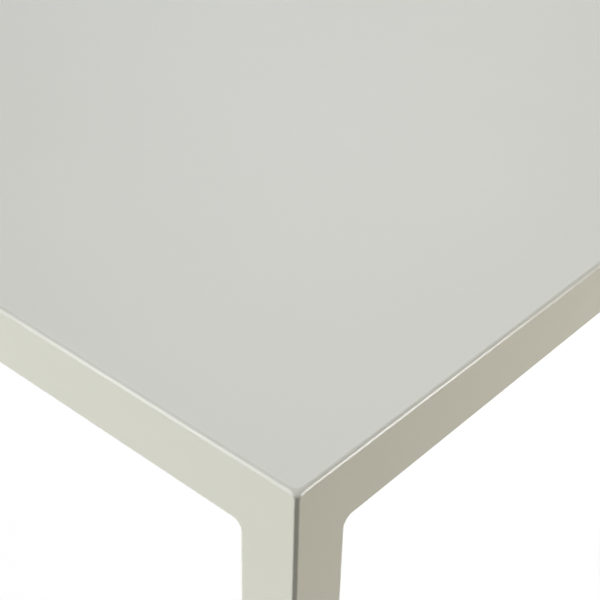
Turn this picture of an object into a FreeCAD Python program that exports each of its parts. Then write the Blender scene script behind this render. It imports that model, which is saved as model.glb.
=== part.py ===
import FreeCAD, Part
import os
import re
import Sketcher

# Parsons dining table: square aluminium tube and a sheet top, welded, dressed flush and coated.
# Millimetres, +Z up, +X along the table, the front towards -Y. The origin is on the floor,
# under the middle of the table.

SIZES = {
    # The whole table
    "table_length": 1800,
    "table_depth": 900,
    "table_height": 740,
    # Legs, rails and top sheet
    "leg_width": 50,
    "leg_wall": 3,
    "rail_height": 50,
    "rail_width": 50,
    "rail_wall": 3,
    "sheet_thickness": 4,
    # Rounding of the dressed edges, and of the welds in the inner corners of leg and rail
    "edge_radius": 3.5,
    "weld_radius": 6.5,
    # Cross bars under the sheet, and the strips that bond the sheet to them
    "cross_bar_height": 40,
    "cross_bar_width": 20,
    "cross_bar_wall": 2,
    "cross_bar_radius": 2.5,
    "bond_thickness": 1.5,
    "bond_width": 14,
    "bond_end_gap": 12,
    # Welds that don't show from outside: along the ends of the bars, and in stitches under the sheet
    "bar_weld_leg": 4,
    "stitch_leg": 6,
    "stitch_length": 40,
    # Plastic plug in the lower end of each leg, with a boss round the screw
    "plug_flange": 4,
    "plug_depth": 26,
    "plug_wall": 2,
    "plug_floor": 3,
    "plug_play": 1.5,
    "rib_thickness": 1.2,
    "rib_start": 6,
    "rib_play": 0.1,
    "boss_diameter": 20,
    "boss_height": 18,
    "boss_hole_play": 0.3,
    # Nut in the plug
    "nut_width": 13,
    "nut_thickness": 6.5,
    "thread_play": 0.05,
    # Screw of the levelling foot: a head in the pad, a hexagon collar and the thread
    "screw_diameter": 8,
    "screw_reach": 32,
    "screw_tip": 1,
    "collar_width": 13,
    "collar_height": 5,
    "collar_gap": 0.2,
    "head_diameter": 14,
    "head_height": 3,
    # Pad of the levelling foot, swivelling on the head of the screw
    "pad_diameter": 34,
    "pad_top_diameter": 22,
    "pad_height": 10,
    "pad_rim": 3,
    "pad_edge": 0.8,
    "pad_floor": 3,
    "pad_play": 0.2,
    # How far a cut runs past what it cuts
    "overrun": 5,
}
RIB_COUNT = 3

# Heights above the floor, from the sizes
COLLAR_BOTTOM = "(pad_height + pad_play)"
PLUG_BOTTOM = f"({COLLAR_BOTTOM} + collar_height + collar_gap)"
LEG_BOTTOM = f"({PLUG_BOTTOM} + plug_flange)"
RAIL_TOP = "(table_height - sheet_thickness)"
RAIL_BOTTOM = f"({RAIL_TOP} - rail_height)"
BAR_TOP = f"({RAIL_TOP} - bond_thickness)"
BAR_BOTTOM = f"({BAR_TOP} - cross_bar_height)"

# Distances between the inner faces of the legs and of the rails
CLEAR_LENGTH = "(table_length - 2 * leg_width)"
CLEAR_DEPTH = "(table_depth - 2 * leg_width)"
INNER_DEPTH = "(table_depth - 2 * rail_width)"
INNER_LENGTH = "(table_length - 2 * rail_width)"

# The cross bars part the length into equal bays, and each end rail has two stitches
CROSS_BARS = {"left": -1, "middle": 0, "right": 1}
BAY = f"({INNER_LENGTH} / {len(CROSS_BARS) + 1})"
END_BAY = f"({INNER_DEPTH} / 2)"

# Which way each corner lies from the middle of the table
CORNERS = {
    "front_left": (-1, -1),
    "front_right": (1, -1),
    "back_left": (-1, 1),
    "back_right": (1, 1),
}

doc = FreeCAD.newDocument("parsons_dining_table")
sheet = doc.addObject("Spreadsheet::Sheet", "Sizes")
for row, (alias, size) in enumerate(SIZES.items(), start=1):
    sheet.set(f"A{row}", alias)
    sheet.set(f"B{row}", str(size))
    sheet.setAlias(f"B{row}", alias)
doc.recompute()


def sized(expression):
    """The expression with each size named as a cell of the sheet."""
    return re.sub(r"[a-z_]+", lambda word: "Sizes." * (word[0] in SIZES) + word[0], expression)


def value(expression):
    """What an expression comes to, in millimetres."""
    return float(sheet.evalExpression(sized(expression)))


def bind(item, sizes):
    """Tie properties of a document object to expressions in the sizes."""
    for name, expression in sizes.items():
        item.setExpression(name, sized(expression))
    return item


def place(item, x, y, z):
    """Put a document object where expressions in the sizes say."""
    return bind(item, {"Placement.Base.x": x, "Placement.Base.y": y, "Placement.Base.z": z})


# Boxes, cuts and rounded edges


def box(name, low, lengths):
    """A block from its lowest corner and its three lengths."""
    block = doc.addObject("Part::Box", name)
    bind(block, dict(zip(("Length", "Width", "Height"), lengths)))
    return place(block, *low)


def middle_box(name, middle, lengths):
    """A block about a middle in X and Y, standing on its lowest Z."""
    x, y, z = middle
    length, width, height = lengths
    return box(name, (f"{x} - {length} / 2", f"{y} - {width} / 2", z), (length, width, height))


def combine(kind, name, base, tool):
    """A cut or a common of two document objects."""
    result = doc.addObject("Part::" + kind, name)
    result.Base = base
    result.Tool = tool
    return result


def rounded(name, base, radius, wanted):
    """A copy of an object with the edges rounded whose middle point is wanted."""
    doc.recompute()
    result = doc.addObject("Part::Fillet", name)
    result.Base = base
    edges = [
        number
        for number, edge in enumerate(base.Shape.Edges, start=1)
        if wanted(edge.valueAt((edge.FirstParameter + edge.LastParameter) / 2))
    ]
    result.Edges = [(number, value(radius), value(radius)) for number in edges]
    return result


def near(length, expression):
    """Whether a length is what an expression comes to."""
    return abs(length - value(expression)) < Part.Precision.confusion() * 100


# Sketches and the features made from them


def new_body(name):
    """An empty body with a name of its own."""
    return doc.addObject("PartDesign::Body", name)


def sketch_on(body, role, name, lift="0"):
    """A sketch on one of the body's own planes, lifted along the plane's normal."""
    sketch = body.newObject("Sketcher::SketchObject", name)
    plane = next(item for item in body.Origin.OriginFeatures if item.Role == role)
    sketch.AttachmentSupport = [(plane, "")]
    sketch.MapMode = "FlatFace"
    return bind(sketch, {"AttachmentOffset.Base.z": lift})


def hold(sketch, kind, line, expression):
    """Hold the start of a line at a distance from the sketch's origin."""
    index = sketch.addConstraint(Sketcher.Constraint(kind, line, 1, value(expression)))
    sketch.setExpression(f"Constraints[{index}]", sized(expression))


def outline(sketch, corners):
    """A closed outline of straight lines, each corner held where two expressions say."""
    first = sketch.GeometryCount
    count = len(corners)
    points = [FreeCAD.Vector(value(x), value(y), 0) for x, y in corners]
    for step in range(count):
        sketch.addGeometry(Part.LineSegment(points[step], points[(step + 1) % count]))
    for step, (x, y) in enumerate(corners):
        line = first + step
        after = first + (step + 1) % count
        sketch.addConstraint(Sketcher.Constraint("Coincident", line, 2, after, 1))
        hold(sketch, "DistanceX", line, x)
        hold(sketch, "DistanceY", line, y)
    return sketch


def square(sketch, side):
    """A square about the sketch's origin."""
    half = f"{side} / 2"
    return outline(sketch, [(f"-{half}", f"-{half}"), (half, f"-{half}"), (half, half), (f"-{half}", half)])


def hexagon(sketch, width):
    """A hexagon about the sketch's origin, from its width across the flats."""
    flat = f"{width} / 2"
    corner = f"{width} / sqrt(3)"
    half_corner = f"{width} / sqrt(12)"
    return outline(
        sketch,
        [
            (corner, "0"),
            (half_corner, flat),
            (f"-{half_corner}", flat),
            (f"-{corner}", "0"),
            (f"-{half_corner}", f"-{flat}"),
            (half_corner, f"-{flat}"),
        ],
    )


def circle(sketch, diameter):
    """A circle about the sketch's origin."""
    ring = Part.Circle(FreeCAD.Vector(0, 0, 0), FreeCAD.Vector(0, 0, 1), value(diameter) / 2)
    line = sketch.addGeometry(ring)
    sketch.addConstraint(Sketcher.Constraint("Coincident", line, 3, -1, 1))
    index = sketch.addConstraint(Sketcher.Constraint("Diameter", line, value(diameter)))
    sketch.setExpression(f"Constraints[{index}]", sized(diameter))
    return sketch


def pad(body, name, sketch, length):
    """Material from a sketch, along its normal."""
    feature = body.newObject("PartDesign::Pad", name)
    feature.Profile = sketch
    return bind(feature, {"Length": length})


def pocket(body, name, sketch, depth, upwards=False):
    """A cut from a sketch, against its normal or, upwards, along it."""
    feature = body.newObject("PartDesign::Pocket", name)
    feature.Profile = sketch
    feature.Reversed = upwards
    return bind(feature, {"Length": depth})


def turned(body, name, corners):
    """Material turned about the body's Z axis, from corners at a radius and a height."""
    sketch = outline(sketch_on(body, "XZ_Plane", name + "_outline"), corners)
    feature = body.newObject("PartDesign::Revolution", name)
    feature.Profile = sketch
    feature.ReferenceAxis = (sketch, ["V_Axis"])
    return feature


# The welded frame: one dressed outline, from which each piece of it is parted


def dressed_outline():
    """The table above its feet as one block, with the spaces between the legs and its edges rounded."""
    height = f"(table_height - {LEG_BOTTOM})"
    block = middle_box("frame_block", ("0", "0", LEG_BOTTOM), ("table_length", "table_depth", height))
    shape = rounded("frame_round", block, "edge_radius", lambda point: not near(point.z, LEG_BOTTOM))

    gap_bottom = f"({LEG_BOTTOM} - overrun)"
    gap_height = f"({RAIL_BOTTOM} - {gap_bottom})"
    through_depth = "(table_depth + 2 * overrun)"
    through_length = "(table_length + 2 * overrun)"
    gaps = {
        "side_gap": (CLEAR_LENGTH, through_depth, gap_height),
        "end_gap": (through_length, CLEAR_DEPTH, gap_height),
    }
    for name, lengths in gaps.items():
        gap = middle_box(name, ("0", "0", gap_bottom), lengths)
        across = "x" if name == "side_gap" else "y"

        def upper_corner(point):
            return near(point.z, RAIL_BOTTOM) and abs(getattr(point, across)) > value("weld_radius")

        gap = rounded(name + "_round", gap, "weld_radius", upper_corner)
        shape = combine("Cut", "frame_less_" + name, shape, gap)

    def face_edge(point):
        """Whether a point is on the edge of a gap in one of the four outer faces."""
        between_sides = abs(point.x) < value("(table_length - leg_width) / 2")
        between_ends = abs(point.y) < value("(table_depth - leg_width) / 2")
        in_side = near(abs(point.y), "table_depth / 2") and between_sides
        in_end = near(abs(point.x), "table_length / 2") and between_ends
        above_foot = point.z > value(f"{LEG_BOTTOM} + edge_radius")
        below_rail = point.z < value(f"{RAIL_BOTTOM} + edge_radius")
        return (in_side or in_end) and above_foot and below_rail

    return rounded("dressed_outline", shape, "edge_radius", face_edge)


def parted(name, dressed, low, lengths):
    """What the dressed outline has within a block."""
    return combine("Common", name, dressed, box(name + "_reach", low, lengths))


def corner_low(side, size, whole):
    """The lowest coordinate of a size that lies against one side of the whole."""
    return f"{side} * ({whole} - {size}) / 2 - {size} / 2"


def leg(name, corner, dressed):
    """A leg of square tube, from its plug to the underside of the sheet."""
    low_x = corner_low(corner[0], "leg_width", "table_length")
    low_y = corner_low(corner[1], "leg_width", "table_depth")
    height = f"({RAIL_TOP} - {LEG_BOTTOM})"
    lengths = ("leg_width", "leg_width", height)
    solid = parted(name + "_solid", dressed, (low_x, low_y, LEG_BOTTOM), lengths)

    def inner_edge(point):
        return near(abs(point.x), f"{CLEAR_LENGTH} / 2") and near(abs(point.y), f"{CLEAR_DEPTH} / 2")

    solid = rounded(name + "_round", solid, "edge_radius", inner_edge)
    bore_width = "(leg_width - 2 * leg_wall)"
    bore = box(
        name + "_bore",
        (f"{low_x} + leg_wall", f"{low_y} + leg_wall", f"{LEG_BOTTOM} - overrun"),
        (bore_width, bore_width, f"{height} + 2 * overrun"),
    )
    return combine("Cut", name, solid, bore)


def rail(name, side, along, dressed):
    """A rail of square tube between two legs: along X at the front and back, along Y at the ends."""
    bore_width = "(rail_width - 2 * rail_wall)"
    bore_height = "(rail_height - 2 * rail_wall)"
    if along == "x":
        across = f"{side} * (table_depth - rail_width) / 2"
        middle = ("0", across)
        lengths = (CLEAR_LENGTH, "rail_width", "rail_height")
        bore_lengths = (f"({CLEAR_LENGTH} + 2 * overrun)", bore_width, bore_height)
    else:
        across = f"{side} * (table_length - rail_width) / 2"
        middle = (across, "0")
        lengths = ("rail_width", CLEAR_DEPTH, "rail_height")
        bore_lengths = (bore_width, f"({CLEAR_DEPTH} + 2 * overrun)", bore_height)
    reach = middle_box(name + "_reach", (*middle, RAIL_BOTTOM), lengths)
    solid = combine("Common", name + "_solid", dressed, reach)
    inner = f"{INNER_DEPTH} / 2" if along == "x" else f"{INNER_LENGTH} / 2"

    def inner_edge(point):
        level = near(point.z, RAIL_BOTTOM) or near(point.z, RAIL_TOP)
        return level and near(abs(point.y if along == "x" else point.x), inner)

    solid = rounded(name + "_round", solid, "edge_radius", inner_edge)
    bore = middle_box(name + "_bore", (*middle, f"{RAIL_BOTTOM} + rail_wall"), bore_lengths)
    return combine("Cut", name, solid, bore)


def inner_weld(name, corner, along, dressed):
    """The fillet weld of a leg and a rail, under the rail and on the flat of the leg's inner face."""
    depth = "(min(leg_width; rail_width) - edge_radius)"
    low_z = f"{RAIL_BOTTOM} - weld_radius"
    if along == "x":
        low_x = corner_low(corner[0], "weld_radius", CLEAR_LENGTH)
        low_y = corner_low(corner[1], depth, "table_depth")
        lengths = ("weld_radius", depth, "weld_radius")
    else:
        low_x = corner_low(corner[0], depth, "table_length")
        low_y = corner_low(corner[1], "weld_radius", CLEAR_DEPTH)
        lengths = (depth, "weld_radius", "weld_radius")
    return parted(name, dressed, (low_x, low_y, low_z), lengths)


def group(name, pieces):
    """Alike pieces that share one node."""
    doc.recompute()
    result = doc.addObject("Part::Compound", name)
    result.Links = pieces
    return result


# Under the sheet: cross bars, their bonding strips and the welds that don't show


def cross_bar(name, side):
    """A bar of rectangular tube from the front rail to the back rail."""
    middle_x = f"{side} * {BAY}"
    lengths = ("cross_bar_width", INNER_DEPTH, "cross_bar_height")
    solid = middle_box(name + "_solid", (middle_x, "0", BAR_BOTTOM), lengths)
    solid = rounded(name + "_round", solid, "cross_bar_radius", lambda point: near(point.y, "0"))
    bore = middle_box(
        name + "_bore",
        (middle_x, "0", f"{BAR_BOTTOM} + cross_bar_wall"),
        (
            "(cross_bar_width - 2 * cross_bar_wall)",
            f"({INNER_DEPTH} + 2 * overrun)",
            "(cross_bar_height - 2 * cross_bar_wall)",
        ),
    )
    return combine("Cut", name, solid, bore)


def bond_strip(name, side):
    """A strip of elastic adhesive between a cross bar and the sheet."""
    lengths = ("bond_width", f"({INNER_DEPTH} - 2 * bond_end_gap)", "bond_thickness")
    return middle_box(name, (f"{side} * {BAY}", "0", BAR_TOP), lengths)


def weld_prism(name, leg_size, length, start, rotation):
    """A weld of three-cornered section, run from its start along its own Z axis."""
    prism = doc.addObject("Part::Wedge", name)
    zero = dict.fromkeys(("Xmin", "Ymin", "Zmin", "X2min", "Z2min", "X2max"), "0")
    bind(prism, {**zero, "Xmax": leg_size, "Ymax": leg_size, "Zmax": length, "Z2max": length})
    prism.Placement.Rotation = rotation
    return place(prism, *start)


def turn(x_axis, y_axis):
    """The rotation that lays a weld's section along two directions."""
    x_axis = FreeCAD.Vector(*x_axis)
    y_axis = FreeCAD.Vector(*y_axis)
    return FreeCAD.Rotation(x_axis, y_axis, x_axis.cross(y_axis), "XYZ")


def cross_bar_welds(name):
    """Upright welds on both sides of each cross bar, at both of its ends."""
    length = "(cross_bar_height - 2 * cross_bar_radius)"
    low = f"{BAR_BOTTOM} + cross_bar_radius"
    pieces = []
    for bar_side in CROSS_BARS.values():
        for flank in (-1, 1):
            for end in (-1, 1):
                x = f"{bar_side} * {BAY} + {flank} * cross_bar_width / 2"
                y = f"{end} * {INNER_DEPTH} / 2"
                rotation = turn((flank, 0, 0), (0, -end, 0))
                upright = flank * -end > 0
                start = (x, y, low if upright else f"{low} + {length}")
                pieces.append(weld_prism(f"{name}_{len(pieces)}", "bar_weld_leg", length, start, rotation))
    return group(name, pieces)


def sheet_stitch_welds(name):
    """Short welds in the inner corner of sheet and rails, midway between the cross bars and at the ends."""
    stitches = []
    for side in (-1, 1):
        for bay in (-3, -1, 1, 3):
            x = f"{bay} * {BAY} / 2 + {side} * stitch_length / 2"
            start = (x, f"{side} * {INNER_DEPTH} / 2", RAIL_TOP)
            stitches.append((start, turn((0, 0, -1), (0, -side, 0))))
        for bay in (-1, 1):
            y = f"{bay} * {END_BAY} / 2 - {side} * stitch_length / 2"
            start = (f"{side} * {INNER_LENGTH} / 2", y, RAIL_TOP)
            stitches.append((start, turn((0, 0, -1), (-side, 0, 0))))
    pieces = [
        weld_prism(f"{name}_{number}", "stitch_leg", "stitch_length", start, rotation)
        for number, (start, rotation) in enumerate(stitches)
    ]
    return group(name, pieces)


# The levelling feet: plug, nut, screw and pad, each made about its own Z axis


def leg_middle(corner):
    """The middle of a leg in X and Y."""
    return f"{corner[0]} * (table_length - leg_width) / 2", f"{corner[1]} * (table_depth - leg_width) / 2"


def leg_plug(name, corner):
    """A ribbed plug whose flange closes the end of a leg and whose boss backs the nut."""
    body = new_body(name)
    flange_outline = square(sketch_on(body, "XY_Plane", "flange_outline"), "leg_width")
    flange = pad(body, "flange", flange_outline, "plug_flange")
    doc.recompute()
    corners = body.newObject("PartDesign::Fillet", "flange_corners")
    upright = [
        f"Edge{number}"
        for number, edge in enumerate(flange.Shape.Edges, start=1)
        if near(edge.CenterOfMass.z, "plug_flange / 2")
    ]
    corners.Base = (flange, upright)
    bind(corners, {"Radius": "edge_radius"})

    shell = "(leg_width - 2 * leg_wall - 2 * plug_play)"
    hollow = f"({shell} - 2 * plug_wall)"
    top = "plug_flange + plug_depth"
    shell_outline = square(sketch_on(body, "XY_Plane", "shell_outline", "plug_flange"), shell)
    pad(body, "shell", shell_outline, "plug_depth")
    hollow_outline = square(sketch_on(body, "XY_Plane", "hollow_outline", top), hollow)
    pocket(body, "hollow", hollow_outline, "plug_depth - plug_floor")
    boss_outline = circle(sketch_on(body, "XY_Plane", "boss_outline", "plug_flange"), "boss_diameter")
    pad(body, "boss", boss_outline, "boss_height")

    rib_outline = sketch_on(body, "XY_Plane", "rib_outline", "plug_flange + rib_start")
    square(rib_outline, "(leg_width - 2 * leg_wall - 2 * rib_play)")
    square(rib_outline, shell)
    rib = pad(body, "rib", rib_outline, "rib_thickness")
    doc.recompute()
    ribs = body.newObject("PartDesign::LinearPattern", "ribs")
    ribs.Originals = [rib]
    ribs.Direction = (rib_outline, ["N_Axis"])
    ribs.Occurrences = RIB_COUNT
    bind(ribs, {"Length": f"(plug_depth - rib_start) * {RIB_COUNT - 1} / {RIB_COUNT}"})
    body.Tip = ribs

    nut_outline = hexagon(sketch_on(body, "XY_Plane", "nut_outline"), "nut_width")
    pocket(body, "nut_seat", nut_outline, "nut_thickness", upwards=True)
    hole = "(screw_diameter + 2 * boss_hole_play)"
    hole_outline = circle(sketch_on(body, "XY_Plane", "hole_outline"), hole)
    pocket(body, "screw_hole", hole_outline, "plug_flange + boss_height + overrun", upwards=True)
    return place(body, *leg_middle(corner), PLUG_BOTTOM)


def leg_nut(name, corner):
    """A hexagon nut in the underside of a plug."""
    body = new_body(name)
    hexagon_outline = hexagon(sketch_on(body, "XY_Plane", "hexagon_outline"), "nut_width")
    pad(body, "hexagon", hexagon_outline, "nut_thickness")
    hole = "(screw_diameter + 2 * thread_play)"
    hole_outline = circle(sketch_on(body, "XY_Plane", "hole_outline"), hole)
    pocket(body, "thread", hole_outline, "nut_thickness + overrun", upwards=True)
    return place(body, *leg_middle(corner), PLUG_BOTTOM)


def foot_screw(name, corner):
    """The screw of a levelling foot, with its head in the pad and a collar for a spanner."""
    body = new_body(name)
    shank = "screw_diameter / 2"
    head_top = "pad_floor + head_height"
    end = f"{COLLAR_BOTTOM} + collar_height + screw_reach"
    turned(
        body,
        "shank",
        [
            ("0", "pad_floor"),
            ("head_diameter / 2", "pad_floor"),
            ("head_diameter / 2", head_top),
            (shank, head_top),
            (shank, f"{end} - screw_tip"),
            (f"{shank} - screw_tip", end),
            ("0", end),
        ],
    )
    collar_outline = hexagon(sketch_on(body, "XY_Plane", "collar_outline", COLLAR_BOTTOM), "collar_width")
    pad(body, "collar", collar_outline, "collar_height")
    return place(body, *leg_middle(corner), "0")


def foot_pad(name, corner):
    """The pad of a levelling foot, with a seat in it for the head of the screw."""
    body = new_body(name)
    seat = "head_diameter / 2 + pad_play"
    neck = "screw_diameter / 2 + pad_play"
    seat_top = "pad_floor + head_height + pad_play"
    turned(
        body,
        "pad",
        [
            ("0", "0"),
            ("pad_diameter / 2 - pad_edge", "0"),
            ("pad_diameter / 2", "pad_edge"),
            ("pad_diameter / 2", "pad_rim"),
            ("pad_top_diameter / 2", "pad_height"),
            (neck, "pad_height"),
            (neck, seat_top),
            (seat, seat_top),
            (seat, "pad_floor"),
            ("0", "pad_floor"),
        ],
    )
    return place(body, *leg_middle(corner), "0")


# The whole table

dressed = dressed_outline()
pieces = [
    parted(
        "top_sheet",
        dressed,
        ("-table_length / 2", "-table_depth / 2", RAIL_TOP),
        ("table_length", "table_depth", "sheet_thickness"),
    ),
    rail("front_rail", -1, "x", dressed),
    rail("back_rail", 1, "x", dressed),
    rail("left_rail", -1, "y", dressed),
    rail("right_rail", 1, "y", dressed),
]
for corner_name, corner in CORNERS.items():
    pieces.append(leg("leg_" + corner_name, corner, dressed))
    pieces.append(inner_weld("side_weld_" + corner_name, corner, "x", dressed))
    pieces.append(inner_weld("end_weld_" + corner_name, corner, "y", dressed))
for bar_name, bar_side in CROSS_BARS.items():
    pieces.append(cross_bar("cross_bar_" + bar_name, bar_side))
    pieces.append(bond_strip("bond_strip_" + bar_name, bar_side))
pieces.append(cross_bar_welds("cross_bar_welds"))
pieces.append(sheet_stitch_welds("sheet_stitch_welds"))
for corner_name, corner in CORNERS.items():
    pieces.append(leg_plug("leg_plug_" + corner_name, corner))
    pieces.append(leg_nut("leg_nut_" + corner_name, corner))
    pieces.append(foot_screw("foot_screw_" + corner_name, corner))
    pieces.append(foot_pad("foot_pad_" + corner_name, corner))
doc.recompute()

failed = [item.Label for item in doc.Objects if {"Invalid", "Error"} & set(item.State)]
failed += [piece.Label for piece in pieces if piece.Shape.isNull() or not piece.Shape.isValid()]
if failed:
    raise RuntimeError("these objects failed: " + ", ".join(failed))

os.makedirs("parts", exist_ok=True)
for piece in pieces:
    piece.Shape.exportStep(f"parts/{piece.Label}.step")
    print(piece.Label, len(piece.Shape.Solids), "solids,", round(piece.Shape.Volume / 1000, 3), "cm3")
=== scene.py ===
"""The looks of a parsons dining table: a welded aluminium frame and top under one satin powder coat.

Every surface is worked out in metres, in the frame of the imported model, and takes its place from the boxes
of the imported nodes.
"""

import logging
import math
from dataclasses import dataclass, field
from enum import Enum

import bpy
import numpy as np
from mathutils import Matrix, Vector


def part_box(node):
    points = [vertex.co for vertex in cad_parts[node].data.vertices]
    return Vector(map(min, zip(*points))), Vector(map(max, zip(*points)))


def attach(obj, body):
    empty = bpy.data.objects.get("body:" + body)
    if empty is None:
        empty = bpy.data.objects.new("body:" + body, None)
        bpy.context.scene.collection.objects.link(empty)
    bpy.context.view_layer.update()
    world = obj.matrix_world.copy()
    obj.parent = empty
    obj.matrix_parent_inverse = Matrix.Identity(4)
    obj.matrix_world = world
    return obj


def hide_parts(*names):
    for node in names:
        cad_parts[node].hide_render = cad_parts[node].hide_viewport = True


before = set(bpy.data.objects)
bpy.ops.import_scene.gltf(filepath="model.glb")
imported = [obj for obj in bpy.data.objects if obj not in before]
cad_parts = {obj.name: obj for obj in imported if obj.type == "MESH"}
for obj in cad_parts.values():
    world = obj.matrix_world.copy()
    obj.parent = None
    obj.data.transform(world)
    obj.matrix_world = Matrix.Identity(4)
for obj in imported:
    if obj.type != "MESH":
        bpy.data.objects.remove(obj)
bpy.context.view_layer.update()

Array = np.ndarray
Outline = tuple[Array, Array]
Triple = tuple[float, float, float]
Sockets = dict[int | str, object]
TINY = 1e-15  # stands in for zero where something is divided by it
MICRONS = 1e6  # in a metre; points closer than one are joined
FLAT_COSINE = 0.9999  # a face whose directions agree better than this is flat
MIX_FIRST, MIX_SECOND, MIX_COLOUR = 6, 7, 2  # a colour mix's two inputs and its output, by number
WHITE = (1.0, 1.0, 1.0, 1.0)
log = logging.getLogger("parsons_table")


class Named(Enum):
    """A choice that the nodes and bodies name in small letters."""

    @property
    def label(self) -> str:
        """The name as the nodes and bodies spell it."""
        return self.name.lower()


class Corner(Named):
    """A leg's corner of the table, as its side in X and in Y."""

    FRONT_LEFT = (-1, -1)
    FRONT_RIGHT = (1, -1)
    BACK_LEFT = (-1, 1)
    BACK_RIGHT = (1, 1)


class Side(Named):
    """A side of the table that has a rail: the axis that the rail runs along, and where its face looks."""

    FRONT = (0, -1)
    BACK = (0, 1)
    LEFT = (1, -1)
    RIGHT = (1, 1)


class Bar(Named):
    """A cross bar, by its side of the middle."""

    LEFT = -1
    MIDDLE = 0
    RIGHT = 1


class Slot(Enum):
    """The record's material slots."""

    POWDER_COAT = "powder_coat"
    ADHESIVE = "bonding_adhesive"
    PLUG = "plug_plastic"
    ZINC = "zinc_plated_steel"
    PAD = "pad_plastic"


def linear(code: str) -> tuple[float, float, float, float]:
    """Turns an sRGB hex colour to linear light.

    Args:
        code: The colour as six hex digits after a hash.

    Returns:
        Linear red, green and blue, and an alpha of 1.
    """
    srgb = np.array([int(code[i : i + 2], 16) for i in (1, 3, 5)]) / 255
    light = np.where(srgb <= 0.04045, srgb / 12.92, ((srgb + 0.055) / 1.055) ** 2.4)
    return (*light.tolist(), 1.0)


def add_node(
    tree: bpy.types.NodeTree,
    kind: str,
    links: Sockets | None = None,
    values: Sockets | None = None,
    **settings: object,
) -> bpy.types.Node:
    """Adds one node to a tree.

    Args:
        tree: The node tree that gets the node.
        kind: Blender's name for the kind of node.
        links: Output sockets to join, by the input's name or number.
        values: Input values, by the input's name or number.
        **settings: The node's own properties.

    Returns:
        The new node.
    """
    node = tree.nodes.new(kind)
    for name, setting in settings.items():
        setattr(node, name, setting)
    for socket, value in (values or {}).items():
        node.inputs[socket].default_value = value
    for socket, source in (links or {}).items():
        tree.links.new(source, node.inputs[socket])
    return node


def span(node: str) -> tuple[Array, Array]:
    """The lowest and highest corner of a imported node."""
    low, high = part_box(node)
    return np.array(low), np.array(high)


def unit(vectors: Array) -> Array:
    """Vectors over their lengths, along the last axis."""
    return vectors / np.maximum(np.linalg.norm(vectors, axis=-1, keepdims=True), TINY)


def quarter_turn(steps: int) -> Array:
    """Even angles through a quarter of a turn."""
    return np.linspace(0, math.pi / 2, steps + 1)


def softened(corners: Array, radii: Array | float, steps: int) -> Outline:
    """Rounds the corners of a closed flat outline.

    At each corner an arc of the given radius touches both sides; its outward direction turns evenly from the
    one side's to the other's. A radius of zero keeps the corner, with both directions at its one place.

    Args:
        corners: The corners in order, anticlockwise round what they enclose, shape (n, 2).
        radii: The radius at each corner, or one for all.
        steps: How many steps each arc has.

    Returns:
        Places and outward directions, each of shape (n * (steps + 1) + 1, 2), the first repeated at the end.
    """
    corners = np.asarray(corners, float)
    radii = np.broadcast_to(np.asarray(radii, float), len(corners))[:, None]
    arriving = unit(corners - np.roll(corners, 1, axis=0))
    leaving = np.roll(arriving, -1, axis=0)
    cross = arriving[:, 0] * leaving[:, 1] - arriving[:, 1] * leaving[:, 0]
    turn = np.arctan2(cross, (arriving * leaving).sum(axis=1))[:, None]
    left = np.stack([-arriving[:, 1], arriving[:, 0]], axis=1)
    hand = np.sign(turn)
    middle = corners - arriving * radii * np.tan(np.abs(turn) / 2) + left * radii * hand
    start = np.arctan2(-arriving[:, 0], arriving[:, 1])[:, None]
    angle = start + turn * np.linspace(0, 1, steps + 1)
    outward = np.stack([np.cos(angle), np.sin(angle)], axis=2)
    places = middle[:, None] + outward * (radii * hand)[:, :, None]
    places, outward = places.reshape(-1, 2), outward.reshape(-1, 2)
    return np.concatenate([places, places[:1]]), np.concatenate([outward, outward[:1]])


def rectangle(low: Array, high: Array) -> Array:
    """The four corners of a flat rectangle, anticlockwise from its lowest."""
    return np.array([low, (high[0], low[1]), high, (low[0], high[1])], float)


def grid_normals(points: Array) -> Array:
    """The direction across a grid's two slopes, at each of its points, shape (rows, columns, 3)."""
    return unit(np.cross(np.gradient(points, axis=0), np.gradient(points, axis=1)))


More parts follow.
